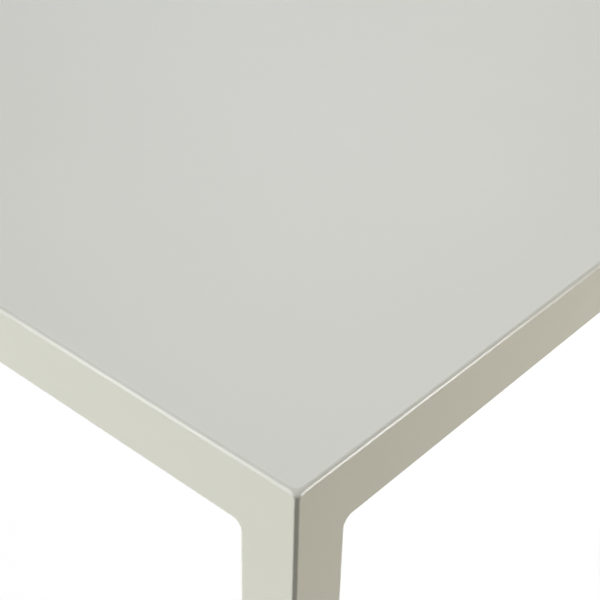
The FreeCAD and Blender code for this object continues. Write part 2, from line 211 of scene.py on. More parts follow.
@dataclass
class Patchwork:
    """The patches of one piece's surface, gathered before they become its mesh."""

    points: list[Array] = field(default_factory=list)
    normals: list[Array] = field(default_factory=list)
    loops: list[Array] = field(default_factory=list)
    sizes: list[Array] = field(default_factory=list)
    count: int = 0

    def keep(self, points: Array, normals: Array, faces: Array) -> None:
        """Adds points, their outward directions and the faces that number them.

        Args:
            points: Places, shape (n, 3).
            normals: Outward directions, shape (n, 3).
            faces: Numbers of the points of each face, shape (faces, corners).
        """
        self.points.append(points)
        self.normals.append(normals)
        self.loops.append(faces.ravel() + self.count)
        self.sizes.append(np.full(len(faces), faces.shape[1]))
        self.count += len(points)

    def add_grid(self, points: Array, normals: Array, flat: bool = False) -> None:
        """Adds a surface given on a grid, its faces turned to look along the outward directions.

        Args:
            points: Places, shape (rows, columns, 3).
            normals: Outward directions, of a shape that spreads to the points'.
            flat: Whether each face is shaded as a flat one.
        """
        normals = np.broadcast_to(normals, points.shape)
        number = np.arange(points.shape[0] * points.shape[1]).reshape(points.shape[:2])
        faces = np.stack([number[:-1, :-1], number[1:, :-1], number[1:, 1:], number[:-1, 1:]], axis=2)
        faces = faces.reshape(-1, 4)
        points, normals = points.reshape(-1, 3), normals.reshape(-1, 3)
        corners = points[faces]
        facing = np.cross(corners[:, 2] - corners[:, 0], corners[:, 3] - corners[:, 1])
        if (facing * normals[faces].mean(axis=1)).sum() < 0:
            faces, facing = faces[:, ::-1], -facing
        if flat:
            points, normals = points[faces].reshape(-1, 3), np.repeat(unit(facing), 4, axis=0)
            faces = np.arange(len(points)).reshape(-1, 4)
        self.keep(points, normals, faces)

    def add_cap(self, ring: Array, normal: Triple | Array) -> None:
        """Closes a flat ring with one face.

        Args:
            ring: The ring's places in order, shape (n, 3).
            normal: The way that the face looks.
        """
        normal = np.asarray(normal, float)
        area = np.cross(ring, np.roll(ring, -1, axis=0)).sum(axis=0)
        order = np.arange(len(ring))[:: 1 if area @ normal > 0 else -1]
        self.keep(ring, np.broadcast_to(normal, ring.shape), order[None])

    def add_run(self, outline: Outline, axes: tuple[int, int, int], stations: Array) -> None:
        """Carries a closed outline along a straight path and closes both ends.

        Args:
            outline: Places and outward directions of the outline, as from softened.
            axes: The axes of the outline's two coordinates, and the axis of the path.
            stations: Where the outline stands along the path.
        """
        places, outward = outline
        points = np.zeros((len(places), len(stations), 3))
        normals = np.zeros_like(points)
        points[:, :, axes[0]], points[:, :, axes[1]] = places[:, None, 0], places[:, None, 1]
        points[:, :, axes[2]] = np.asarray(stations)[None]
        normals[:, :, axes[0]], normals[:, :, axes[1]] = outward[:, None, 0], outward[:, None, 1]
        self.add_grid(points, normals)
        end = np.eye(3)[axes[2]]
        self.add_cap(points[:-1, 0], -end)
        self.add_cap(points[:-1, -1], end)

    def add_turned(self, outline: Outline, middle: Vector, steps: int) -> None:
        """Turns an outline of radius and height about an upright axis.

        Args:
            outline: Places and outward directions of the outline, as from softened.
            middle: A point on the axis.
            steps: How many steps the whole turn has.
        """
        (radius, height), (out, up) = outline[0].T, outline[1].T
        angle = np.linspace(0, 2 * math.pi, steps + 1)[:, None]
        still = np.ones_like(angle)
        points = np.stack([radius * np.cos(angle), radius * np.sin(angle), height * still], axis=2)
        normals = np.stack([out * np.cos(angle), out * np.sin(angle), up * still], axis=2)
        self.add_grid(points + np.array([middle.x, middle.y, 0]), normals)

    def to_piece(self, name: str, finish: "Finish", body: str, *nodes: str) -> None:
        """Makes the mesh, joins the patches where they meet, dresses it and sets it on its body.

        A point whose faces are all curved is marked as an edge, where a coat is drawn thin.

        Args:
            name: The piece's name.
            finish: What it is dressed in.
            body: The body that it rides on.
            *nodes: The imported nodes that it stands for.
        """
        points, normals = np.concatenate(self.points), np.concatenate(self.normals)
        loops, sizes = np.concatenate(self.loops), np.concatenate(self.sizes)
        _, first, joined = np.unique(
            np.round(points * MICRONS).astype(np.int64), axis=0, return_index=True, return_inverse=True
        )
        corner = joined.ravel()[loops]
        start = np.cumsum(sizes) - sizes
        before = np.arange(len(loops)) - 1
        before[start] = start + sizes - 1
        kept = corner != corner[before]
        left = np.add.reduceat(kept.astype(int), start)
        kept &= np.repeat(left >= 3, sizes)
        faces = np.split(corner[kept], np.cumsum(left[left >= 3])[:-1])
        mesh = bpy.data.meshes.new(name)
        mesh.from_pydata(points[first].tolist(), [], [face.tolist() for face in faces])
        mesh.polygons.foreach_set("use_smooth", np.ones(len(faces), bool))
        mesh.normals_split_custom_set(normals[loops][kept].tolist())
        ways = unit(normals[loops])
        agreement = (ways * ways[np.repeat(start, sizes)]).sum(axis=1)
        curved = np.minimum.reduceat(agreement, start) < FLAT_COSINE
        edge = np.ones(len(first))
        np.minimum.at(edge, corner, np.repeat(curved, sizes).astype(float))
        mesh.attributes.new("edge", "FLOAT", "POINT").data.foreach_set("value", edge)
        piece = bpy.data.objects.new(name, mesh)
        bpy.context.scene.collection.objects.link(piece)
        mesh.materials.append(finish.material())
        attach(piece, body)
        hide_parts(*nodes)
        log.info("%s: %d faces, rides on %s, stands for %s", name, len(faces), body, ", ".join(nodes))


class Finish:
    """A finish with a slot in the record and one shared material."""

    slot: Slot
    title: str

    def material(self) -> bpy.types.Material:
        """Makes the finish's material when it is first asked for.

        Returns:
            The one material that all its pieces share.
        """
        found = bpy.data.materials.get(self.title)
        if found is None:
            found = bpy.data.materials.new(self.title)
            found.use_nodes = True
            found.node_tree.nodes.clear()
            shader = self.shade(found.node_tree)
            add_node(found.node_tree, "ShaderNodeOutputMaterial", {"Surface": shader.outputs[0]})
        return found

    def shade(self, tree: bpy.types.NodeTree) -> bpy.types.Node:
        """Adds the finish's nodes to a tree and gives the last shader."""
        raise NotImplementedError

    def clouds(
        self, tree: bpy.types.NodeTree, thin: str, thick: str, size_mm: float, detail: float
    ) -> tuple[bpy.types.NodeSocket, bpy.types.NodeSocket]:
        """Blends two colours by a noise of a real size.

        Args:
            tree: The finish's node tree.
            thin: The colour where the noise is low.
            thick: The colour where it is high.
            size_mm: The noise's size.
            detail: How many finer layers it has.

        Returns:
            The noise and the blended colour.
        """
        place = add_node(tree, "ShaderNodeTexCoord").outputs["Object"]
        noise = add_node(tree, "ShaderNodeTexNoise", {"Vector": place}, {"Scale": 1e3 / size_mm, "Detail": detail})
        colours = {MIX_FIRST: linear(thin), MIX_SECOND: linear(thick)}
        tone = add_node(tree, "ShaderNodeMix", {0: noise.outputs[0]}, colours, data_type="RGBA")
        return noise.outputs[0], tone.outputs[MIX_COLOUR]

    def relief(
        self, tree: bpy.types.NodeTree, size_mm: float, depth_mm: float, detail: float, strength: float = 1.0
    ) -> bpy.types.Node:
        """Raises the surface by a noise of a real size and depth.

        Args:
            tree: The finish's node tree.
            size_mm: The noise's size.
            depth_mm: How deep the relief is.
            detail: How many finer layers it has.
            strength: How much of the relief shows.

        Returns:
            The relief's node, whose input Normal takes another relief below it.
        """
        place = add_node(tree, "ShaderNodeTexCoord").outputs["Object"]
        noise = add_node(tree, "ShaderNodeTexNoise", {"Vector": place}, {"Scale": 1e3 / size_mm, "Detail": detail})
        depth = {"Strength": strength, "Distance": depth_mm / 1e3}
        return add_node(tree, "ShaderNodeBump", {"Height": noise.outputs[0]}, depth)


@dataclass(frozen=True)
class PowderCoat(Finish):
    """Polyester powder coat, sprayed dry and baked: an even satin film that flows over every weld.

    To the eye it is one pale warm grey with a very fine orange peel, a soft sheen on the flats and hardly any
    drift of tone. Over the edges the film draws thin and levels out, so they shine more.
    """

    slot: Slot = Slot.POWDER_COAT
    title: str = "polyester_powder_coat"
    colour: str = "#CBCAC0"
    thin_colour: str = "#C7C6BB"
    roughness: float = 0.42
    edge_roughness: float = 0.2
    peel_mm: float = 1.8
    peel_depth_mm: float = 0.004
    wave_mm: float = 55.0
    wave_depth_mm: float = 0.05
    drift_mm: float = 260.0
    ior: float = 1.5

    def shade(self, tree: bpy.types.NodeTree) -> bpy.types.Node:
        """Adds the drift of tone, the orange peel and the slow waves of a dressed surface.

        Args:
            tree: The finish's node tree.

        Returns:
            The last shader.
        """
        _, tone = self.clouds(tree, self.thin_colour, self.colour, self.drift_mm, detail=2.0)
        slow = self.relief(tree, self.wave_mm, self.wave_depth_mm, detail=1.0)
        fine = self.relief(tree, self.peel_mm, self.peel_depth_mm, detail=2.0)
        tree.links.new(slow.outputs[0], fine.inputs["Normal"])
        edge = add_node(tree, "ShaderNodeAttribute", attribute_name="edge").outputs["Fac"]
        gloss = {"To Min": self.roughness, "To Max": self.edge_roughness}
        sheen = add_node(tree, "ShaderNodeMapRange", {"Value": edge}, gloss)
        return add_node(
            tree,
            "ShaderNodeBsdfPrincipled",
            {"Base Color": tone, "Normal": fine.outputs[0], "Roughness": sheen.outputs[0]},
            {"IOR": self.ior},
        )


@dataclass(frozen=True)
class DullFinish(Finish):
    """A dull finish: two tones in clouds, under a fine grain."""

    slot: Slot
    title: str
    colour: str
    pale_colour: str
    roughness: float
    ior: float
    cloud_mm: float
    grain_mm: float
    grain_depth_mm: float
    grain_strength: float
    grain_detail: float

    def shade(self, tree: bpy.types.NodeTree) -> bpy.types.Node:
        """Adds the clouds and the grain.

        Args:
            tree: The finish's node tree.

        Returns:
            The last shader.
        """
        _, tone = self.clouds(tree, self.colour, self.pale_colour, self.cloud_mm, detail=3.0)
        grain = self.relief(tree, self.grain_mm, self.grain_depth_mm, self.grain_detail, self.grain_strength)
        return add_node(
            tree,
            "ShaderNodeBsdfPrincipled",
            {"Base Color": tone, "Normal": grain.outputs[0]},
            {"Roughness": self.roughness, "IOR": self.ior},
        )


@dataclass(frozen=True)
class MouldedPlastic(DullFinish):
    """Nylon or polyethylene, injection moulded in a spark-eroded mould: near black, matt, with a fine grain.

    The clouds are the paler bloom of handled plastic.
    """

    slot: Slot = Slot.PLUG
    title: str = "moulded_black_nylon"
    colour: str = "#262625"
    pale_colour: str = "#323230"
    roughness: float = 0.52
    ior: float = 1.53
    cloud_mm: float = 9.0
    grain_mm: float = 0.5
    grain_depth_mm: float = 0.02
    grain_strength: float = 0.6
    grain_detail: float = 2.0


@dataclass(frozen=True)
class Adhesive(DullFinish):
    """Elastic polyurethane adhesive, laid as a bead and pressed flat: dark grey, with a dull, wrinkled skin."""

    slot: Slot = Slot.ADHESIVE
    title: str = "elastic_adhesive"
    colour: str = "#2B2B2C"
    pale_colour: str = "#3A3A3A"
    roughness: float = 0.62
    ior: float = 1.5
    cloud_mm: float = 6.0
    grain_mm: float = 6.0
    grain_depth_mm: float = 0.3
    grain_strength: float = 0.4
    grain_detail: float = 3.0


@dataclass(frozen=True)
class ZincPlate(Finish):
    """Steel, cold headed and rolled, then zinc plated and passivated: bright, faintly blue, with cloudy patches."""

    slot: Slot = Slot.ZINC
    title: str = "zinc_plated_steel"
    colour: str = "#D6D8DB"
    dull_colour: str = "#C5C7CB"
    roughness: float = 0.26
    dull_roughness: float = 0.42
    cloud_mm: float = 4.0

    def shade(self, tree: bpy.types.NodeTree) -> bpy.types.Node:
        """Adds the clouds of the passivated layer, in colour and in gloss.

        Args:
            tree: The finish's node tree.

        Returns:
            The last shader.
        """
        cloud, tone = self.clouds(tree, self.dull_colour, self.colour, self.cloud_mm, detail=4.0)
        gloss = {"To Min": self.dull_roughness, "To Max": self.roughness}
        sheen = add_node(tree, "ShaderNodeMapRange", {"Value": cloud}, gloss)
        links = {"Base Color": tone, "Roughness": sheen.outputs[0]}
        return add_node(tree, "ShaderNodeBsdfPrincipled", links, {"Metallic": 1.0})


@dataclass(frozen=True)
class DressedEdge:
    """An upright outer edge, filed to a narrow flat whose own edges are softened."""

    flat: float = 0.0023
    radius: float = 0.002
    steps: int = 6

    @property
    def reach(self) -> float:
        """How far the dressing goes from the sharp edge along each face."""
        return self.flat + self.radius * math.tan(math.pi / 8)

    def line(self) -> tuple[Array, Array]:
        """Turns through 45 degrees on an arc, crosses the flat, and turns through the rest on another arc.

        Returns:
            Depths below the two faces, shape (n, 2), and the outward direction's angle from the first face's.
        """
        turn = np.linspace(0, math.pi / 4, self.steps + 1)
        first = np.stack([self.radius * (1 - np.cos(turn)), self.reach - self.radius * np.sin(turn)], axis=1)
        return np.concatenate([first, first[::-1, ::-1]]), np.append(turn, math.pi / 2 - turn[::-1])


@dataclass(frozen=True)
class Top:
    """The sheet on top, its edges dressed to a flat roll and flush with the rails, its corners ground round."""

    coat: Finish = PowderCoat()
    edge: DressedEdge = DressedEdge()
    roll_width: float = 0.005
    roll_depth: float = 0.0022
    crown_radius: float = 0.0055
    ground_radius: float = 0.0024
    ground_share: float = 0.5
    steps: int = 14

    def build(self) -> None:
        """Lays rings from the flat outwards and down the edge, then closes top and underside.

        A ring is the sheet's rectangle set in by a distance, each corner a sum of two lines with the same
        directions: the legs' dressed edge times a share, and an arc. Over the roll, a quarter of a flat
        ellipse, the inset falls by a sine and the height by a cosine; the share grows and the arc shrinks with
        the sine. Down the side the share eases to one and the arc to nothing. The outward direction leans by
        how fast the ring moves out and down.
        """
        low, high = span("top_sheet")
        turn, fall = quarter_turn(self.steps), np.linspace(0, 1, self.steps // 2 + 1)
        sine, cosine = np.sin(turn), np.cos(turn)
        ease, ease_rate = fall**2 * (3 - 2 * fall), 6 * fall * (1 - fall)
        side = high[2] - low[2] - self.roll_depth
        shrink = self.crown_radius - self.ground_radius
        inset = np.append(self.roll_width * (1 - sine), 0 * fall)
        inset_rate = np.append(-self.roll_width * cosine, 0 * fall)
        drop = np.append(self.roll_depth * (1 - cosine), self.roll_depth + side * fall)
        drop_rate = np.append(self.roll_depth * sine, side + 0 * fall)
        share = np.append(self.ground_share * sine, self.ground_share + (1 - self.ground_share) * ease)
        share_rate = np.append(self.ground_share * cosine, (1 - self.ground_share) * ease_rate)
        bend = np.append(self.crown_radius - shrink * sine, self.ground_radius * (1 - ease))
        bend_rate = np.append(-shrink * cosine, -self.ground_radius * ease_rate)

        dressed, quarter = self.edge.line()
        dressed = np.concatenate([dressed, dressed[::-1]] * 2)
        angle = (math.pi + quarter + np.arange(4)[:, None] * math.pi / 2).ravel()
        outward = np.stack([np.cos(angle), np.sin(angle)], axis=1)
        sign = np.repeat([(-1, -1), (1, -1), (1, 1), (-1, 1)], len(quarter), axis=0)
        arc = 1 - np.abs(outward)
        depth = inset[:, None] + dressed[:, None] * share[:, None] + arc[:, None] * bend[:, None]
        plan = np.where(sign > 0, high[:2], low[:2])[:, None] - sign[:, None] * depth
        points = np.dstack([plan, np.broadcast_to(high[2] - drop, plan.shape[:2])])
        rate = inset_rate[:, None] + dressed[:, None] * share_rate[:, None] + arc[:, None] * bend_rate[:, None]
        lean = -(rate * np.abs(outward)[:, None]).sum(axis=2)
        normals = unit(np.dstack([outward[:, None] * drop_rate[:, None], lean]))
        patches = Patchwork()
        patches.add_grid(np.concatenate([points, points[:1]]), np.concatenate([normals, normals[:1]]))
        patches.add_cap(points[:, 0], (0, 0, 1))
        patches.add_cap(points[:, -1], (0, 0, -1))
        patches.to_piece("coated_top", self.coat, "frame", "top_sheet")


@dataclass(frozen=True)
class Rail:
    """A rail of square tube between the heads of two legs."""

    side: Side
    coat: Finish = PowderCoat()
    edge_radius: float = 0.0035
    weld_radius: float = 0.0065
    steps: int = 10

    def build(self) -> None:
        """Carries the tube's outline, three edges rounded and the one under the sheet square, along the rail."""
        node = f"{self.side.label}_rail"
        low, high = span(node)
        along, look = self.side.value
        across = 1 - along
        radii = np.full(4, self.edge_radius)
        radii[3 if look < 0 else 2] = 0
        outline = softened(rectangle(low[[across, 2]], high[[across, 2]]), radii, self.steps)
        stations = [low[along] + self.weld_radius, high[along] - self.weld_radius]
        patches = Patchwork()
        patches.add_run(outline, (across, 2, along), stations)
        patches.to_piece(f"coated_rail_{self.side.label}", self.coat, "frame", node)


@dataclass(frozen=True)
class Leg:
    """A leg of square tube with its two dressed inner welds, and the first of each rail on its head."""

    corner: Corner
    coat: Finish = PowderCoat()
    outer: DressedEdge = DressedEdge()
    edge_radius: float = 0.0035
    weld_radius: float = 0.0065
    steps: int = 10

    def place(self, points: Array) -> Array:
        """Turns depths below the table's two outer faces, and heights, to places.

        Args:
            points: Depth below the end face, depth below the long face, and height, in the last axis.

        Returns:
            Places in X, Y and Z.
        """
        side = np.array([*self.corner.value, 1])
        low, high = span(f"leg_{self.corner.label}")
        outer = np.where(side > 0, high, low) * (1, 1, 0)
        return outer + np.asarray(points) * side * (-1, -1, 1)

    def look(self, normals: Array) -> Array:
        """Turns directions in depth, depth and height to directions in X, Y and Z."""
        return np.asarray(normals) * np.array([*self.corner.value, 1]) * (-1, -1, 1)

    def add_face(self, patches: Patchwork, order: tuple[int, int, int]) -> tuple[Array, Array]:
        """Adds an outer face, the rounded edge of the gap beside it, and the inner face with its weld.

        The gap's edge is a path: straight up the leg, round the weld by a quarter circle, and level under the
        rail. Across it goes a profile: the flat face, a quarter round, and the flat of the gap's side. The flat
        face reaches back from each point of the path, square to it, to the leg's outer edge or to the sheet.

        Args:
            patches: What the surfaces are added to.
            order: Where along-the-face, depth and height stand among the leg's three coordinates.

        Returns:
            The face's far boundary as along-the-face, depth and height, and the plan of its rounded edge.
        """
        low, high = span(f"leg_{self.corner.label}")
        width, foot, head = high[0] - low[0], low[2], high[2]
        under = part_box("front_rail")[0].z
        outer, radius, bend = self.outer.reach, self.edge_radius, self.weld_radius
        centre = np.array([width + bend, under - bend])
        upper = math.atan2(head - centre[1], outer - centre[0])
        half = np.linspace(0, 1, self.steps + 1)
        angle = np.append(math.pi + (upper - math.pi) * half, (upper + (math.pi / 2 - upper) * half)[1:])
        inward = np.stack([np.cos(angle), np.sin(angle)], axis=1)
        path = centre + bend * inward
        to_edge = (outer - centre[0]) / np.minimum(inward[:, 0], -TINY)
        to_sheet = (head - centre[1]) / np.maximum(inward[:, 1], TINY)
        back = np.minimum(to_edge, to_sheet) - bend
        path = np.concatenate([[(width, foot)], path])
        inward = np.concatenate([[(-1.0, 0.0)], inward])
        back = np.append(width - outer, back)

        def spread(along: Array | float, deep: Array | float, up: Array | float) -> Array:
            """Puts parts along the face, in depth and in height into the leg's own order."""
            return np.stack(np.broadcast_arrays(along, deep, up), axis=-1)[..., list(order)]

        def lay(offset: Array, depth: Array, rows: slice = slice(None)) -> Array:
            """Places a profile of offset and depth on each point of the path."""
            flat = path[rows, None] + inward[rows, None] * offset[..., None]
            return self.place(spread(flat[..., 0], depth, flat[..., 1]))

        tilt = quarter_turn(self.steps)
        round_depth, round_offset = radius * (1 - np.cos(tilt)), radius * (1 - np.sin(tilt))
        flat_face = np.stack([back, np.full(len(back), radius)], axis=1)
        patches.add_grid(lay(flat_face, np.zeros(2)), self.look(spread(0.0, -1.0, 0.0)))
        turned = -inward[:, None] * np.sin(tilt)[:, None]
        edge = np.broadcast_to(round_offset, (len(path), len(tilt)))
        outward = self.look(spread(turned[..., 0], -np.cos(tilt), turned[..., 1]))
        patches.add_grid(lay(edge, round_depth), outward)
        bare = -inward[:, None]
        leg_depths = (radius, width - radius)
        for rows, depths in ((slice(0, 2), leg_depths), (slice(1, None), (*leg_depths, width))):
            flush = np.zeros((len(path[rows]), len(depths)))
            outward = self.look(spread(bare[rows, :, 0], 0.0, bare[rows, :, 1]))
            patches.add_grid(lay(flush, np.array(depths), rows), outward)
        inner = np.concatenate([path[1:], [(width + bend, head), (width, head)]])
        patches.add_cap(self.place(spread(inner[:, 0], width, inner[:, 1])), self.look(spread(0.0, 1.0, 0.0)))
        end_edge = np.stack([round_depth, under + round_offset], axis=1)
        end = np.concatenate([[(0, head)], end_edge, [(width - radius, under), (width, under), (width, head)]])
        stub = self.place(spread(width + bend, end[:, 0], end[:, 1]))
        patches.add_cap(stub, self.look(spread(1.0, 0.0, 0.0)))
        far = path + inward * back[:, None]
        far = np.stack([far[:, 0], np.zeros(len(far)), far[:, 1]], axis=1)
        return far, np.stack([width - round_offset, round_depth], axis=1)

    def add_upright(self, patches: Patchwork, plan: Array, outward: Array, heights: Array) -> None:
        """Carries a line of the plan up the leg.

        Args:
            patches: What the surface is added to.
            plan: The line's depths below the two outer faces, shape (n, 2).
            outward: Its outward directions in the same parts.
            heights: Where the line stands on its way up.
        """
        points = np.broadcast_to(plan[:, None], (len(plan), len(heights), 2))
        rise = np.broadcast_to(heights, points.shape[:2])
        normals = np.hstack([outward, np.zeros((len(plan), 1))])[:, None]
        patches.add_grid(self.place(np.dstack([points, rise])), self.look(normals))

    def build(self) -> None:
        """Joins both outer faces by the dressed outer edge, a quarter round on the inmost, and the caps."""
        low, high = span(f"leg_{self.corner.label}")
        width, foot, head = high[0] - low[0], low[2], high[2]
        weld_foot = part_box("front_rail")[0].z - self.weld_radius
        radius, bend = self.edge_radius, self.weld_radius
        patches = Patchwork()
        long_order, end_order = (0, 1, 2), (1, 0, 2)
        far, low_line = self.add_face(patches, long_order)
        self.add_face(patches, end_order)
        tilt = quarter_turn(self.steps)
        cos, sin = np.cos(tilt), np.sin(tilt)
        outer, angle = self.outer.line()
        outward = np.stack([-np.cos(angle), -np.sin(angle)], axis=1)
        self.add_upright(patches, outer, outward, far[: self.steps + 2, 2])
        inmost = np.stack([width - radius + radius * cos, width - radius + radius * sin], axis=1)
        self.add_upright(patches, inmost, np.stack([cos, sin], axis=1), np.array([foot, weld_foot]))

        def cap(plan: Array, height: float, way: float) -> None:
            """Closes a plan ring at a height."""
            ring = np.hstack([plan, np.full((len(plan), 1), height)])
            patches.add_cap(self.place(ring), (0, 0, way))

        cap(np.concatenate([[(width, width)], inmost[::-1]]), weld_foot, -1)
        top_line = far[self.steps + 1 :, :2]
        inner = [(width + bend, width), (width, width), (width, width + bend)]
        cap(np.concatenate([top_line, inner, top_line[::-1, ::-1], outer[1:-1]]), head, 1)
        cap(np.concatenate([low_line, inmost, low_line[::-1, ::-1], outer]), foot, -1)
        label = self.corner.label
        nodes = (f"leg_{label}", f"side_weld_{label}", f"end_weld_{label}")
        patches.to_piece(f"coated_leg_{label}", self.coat, "frame", *nodes)


@dataclass(frozen=True)
class UnderTop:
    """What stiffens the sheet from below: cross bars, the strips that bond them to it, and weld beads.

    A strip's waves are each given by radians per metre, height and start.
    """

    coat: Finish = PowderCoat()
    adhesive: Finish = Adhesive()
    bar_radius: float = 0.0025
    steps: int = 6
    strip_stations: int = 160
    strip_width: float = 0.93
    strip_swell: float = 0.035
    strip_waves: tuple[Triple, ...] = ((61.0, 1.0, 0.0), (143.0, 0.6, 1.0), (337.0, 0.3, 2.0))
    bead_pitch: float = 0.0024
    bead_flat: float = 0.72
    bead_round: float = 0.22
    bead_ripple: float = 0.08
    bead_bow: float = 1.1
    bead_end: float = 0.7
    bead_steps: int = 8
    drop_steps: int = 7
    stitch_length: float = 0.04
    stitch_leg: float = 0.006
    stitch_bays: tuple[float, ...] = (-0.75, -0.25, 0.25, 0.75)
    stitch_ends: tuple[float, ...] = (-0.5, 0.5)

    def build_bar(self, bar: Bar) -> None:
        """Carries a tube's rounded outline from the front rail to the back rail.

        Args:
            bar: Which bar it is.
        """
        node = f"cross_bar_{bar.label}"
        low, high = span(node)
        outline = softened(rectangle(low[[0, 2]], high[[0, 2]]), self.bar_radius, self.steps)
        patches = Patchwork()
        patches.add_run(outline, (0, 2, 1), [low[1], high[1]])
        patches.to_piece(f"coated_cross_bar_{bar.label}", self.coat, "frame", node)

    def build_strip(self, bar: Bar) -> None:
        """Carries a flat section with round sides along a bar; its half width swells and shrinks in waves.

        Args:
            bar: The bar under the strip.
        """
        node = f"bond_strip_{bar.label}"
        low, high = span(node)
        half, depth = (high[0] - low[0]) / 2, (high[2] - low[2]) / 2
        along = np.linspace(low[1], high[1], self.strip_stations)
        wave = sum(share * np.sin(along * rate + start) for rate, share, start in self.strip_waves)
        width = (half - depth) * (self.strip_width + self.strip_swell * wave)
        turn = np.linspace(-0.5, 0.5, self.steps + 1)
        angle = np.concatenate([turn, turn + 1, turn[:1]])[:, None] * math.pi
        side = np.repeat([1.0, -1.0, 1.0], [len(turn), len(turn), 1])[:, None]
        across = low[0] + half + side * width + depth * np.cos(angle)
        height = low[2] + depth + depth * np.sin(angle)
        points = np.stack(np.broadcast_arrays(across, along, height), axis=2)
        normals = np.stack([np.cos(angle), np.zeros_like(angle), np.sin(angle)], axis=2)
        patches = Patchwork()
        patches.add_grid(points, normals)
        patches.add_cap(points[:-1, 0], (0, -1, 0))
        patches.add_cap(points[:-1, -1], (0, 1, 0))
        patches.to_piece(f"adhesive_strip_{bar.label}", self.adhesive, "frame", node)

    def add_bead(
        self, patches: Patchwork, root: Array, first: Array, second: Array, along: Array, leg: float
    ) -> None:
        """Adds one weld bead in the corner of two faces.

        The reach from the root, at an angle from the first face to the second, lies between that of a flat
        fillet and that of a round one. It swells at each drop of the weld, the drops bowed like scales, and
        falls to nothing at both ends by a quarter circle.

        Args:
            patches: What the bead is added to.
            root: Where the corner's line starts.
            first: The direction along the first face, square to the bead.
            second: The direction along the second face, square to the bead.
            along: The bead's whole length and direction.
            leg: The bead's size along each face.
        """
        length = np.linalg.norm(along)
        angle = quarter_turn(self.bead_steps)[:, None]
        run = np.linspace(0, 1, int(length / self.bead_pitch * self.drop_steps))[None] * length
        bow = self.bead_bow * (angle - math.pi / 4) ** 2
        scale = np.abs(np.sin(math.pi * (run / self.bead_pitch + bow)))
        swell = 1 - self.bead_ripple + self.bead_ripple * scale
        reach = leg * (self.bead_flat / (np.cos(angle) + np.sin(angle)) + self.bead_round) * swell
        near_end = np.clip(np.minimum(run, length - run) / (self.bead_end * leg), 0, 1)
        reach = reach * np.sqrt(1 - (1 - near_end) ** 2)
        reach = np.vstack([0 * reach[:1], reach, 0 * reach[:1]])
        angle = np.vstack([angle[:1], angle, angle[-1:]])
        cross = (reach * np.cos(angle))[..., None] * first + (reach * np.sin(angle))[..., None] * second
        points = root + cross + (run / length)[..., None] * along
        outward = grid_normals(points[1:-1])
        outward *= np.sign((outward * (first + second)).sum())
        patches.add_grid(points[1:-1], outward)
        patches.add_grid(points[:2], -second, flat=True)
        patches.add_grid(points[-2:], -first, flat=True)

    def build_bar_beads(self) -> None:
        """Runs an upright bead on both sides of each cross bar, at both of its ends."""
        node = "cross_bar_welds"
        low, high = span(node)
        leg = high[0] - span("cross_bar_right")[1][0]
        rise = np.array([0, 0, high[2] - low[2]])
        patches = Patchwork()
        for bar in Bar:
            bar_low, bar_high = span(f"cross_bar_{bar.label}")
            for x, flank in ((bar_low[0], -1), (bar_high[0], 1)):
                for y, inward in ((bar_low[1], 1), (bar_high[1], -1)):
                    first, second = np.array([flank, 0, 0]), np.array([0, inward, 0])
                    self.add_bead(patches, np.array([x, y, low[2]]), first, second, rise, leg)
        patches.to_piece("cross_bar_beads", self.coat, "frame", node)

    def build_stitches(self) -> None:
        """Runs short beads in the inner corner of sheet and rails, midway between the bars and at the ends."""
        node = "sheet_stitch_welds"
        low, high = span(node)
        bar_low, bar_high = span("cross_bar_right")
        bay, length, leg = bar_low[0] + bar_high[0], self.stitch_length, self.stitch_leg
        patches = Patchwork()
        down = np.array([0, 0, -1.0])
        for side, edge in ((-1, low), (1, high)):
            for share in self.stitch_bays:
                root = np.array([share * bay - length / 2, edge[1], high[2]])
                self.add_bead(patches, root, down, np.array([0, -side, 0]), np.array([length, 0, 0]), leg)
            for share in self.stitch_ends:
                root = np.array([edge[0], share * high[1] - length / 2, high[2]])
                self.add_bead(patches, root, down, np.array([-side, 0, 0]), np.array([0, length, 0]), leg)
        patches.to_piece("sheet_stitch_beads", self.coat, "frame", node)

    def build(self) -> None:
        """Builds each bar with its strip, then the beads."""
        for bar in Bar:
            self.build_bar(bar)
            self.build_strip(bar)
        self.build_bar_beads()
        self.build_stitches()


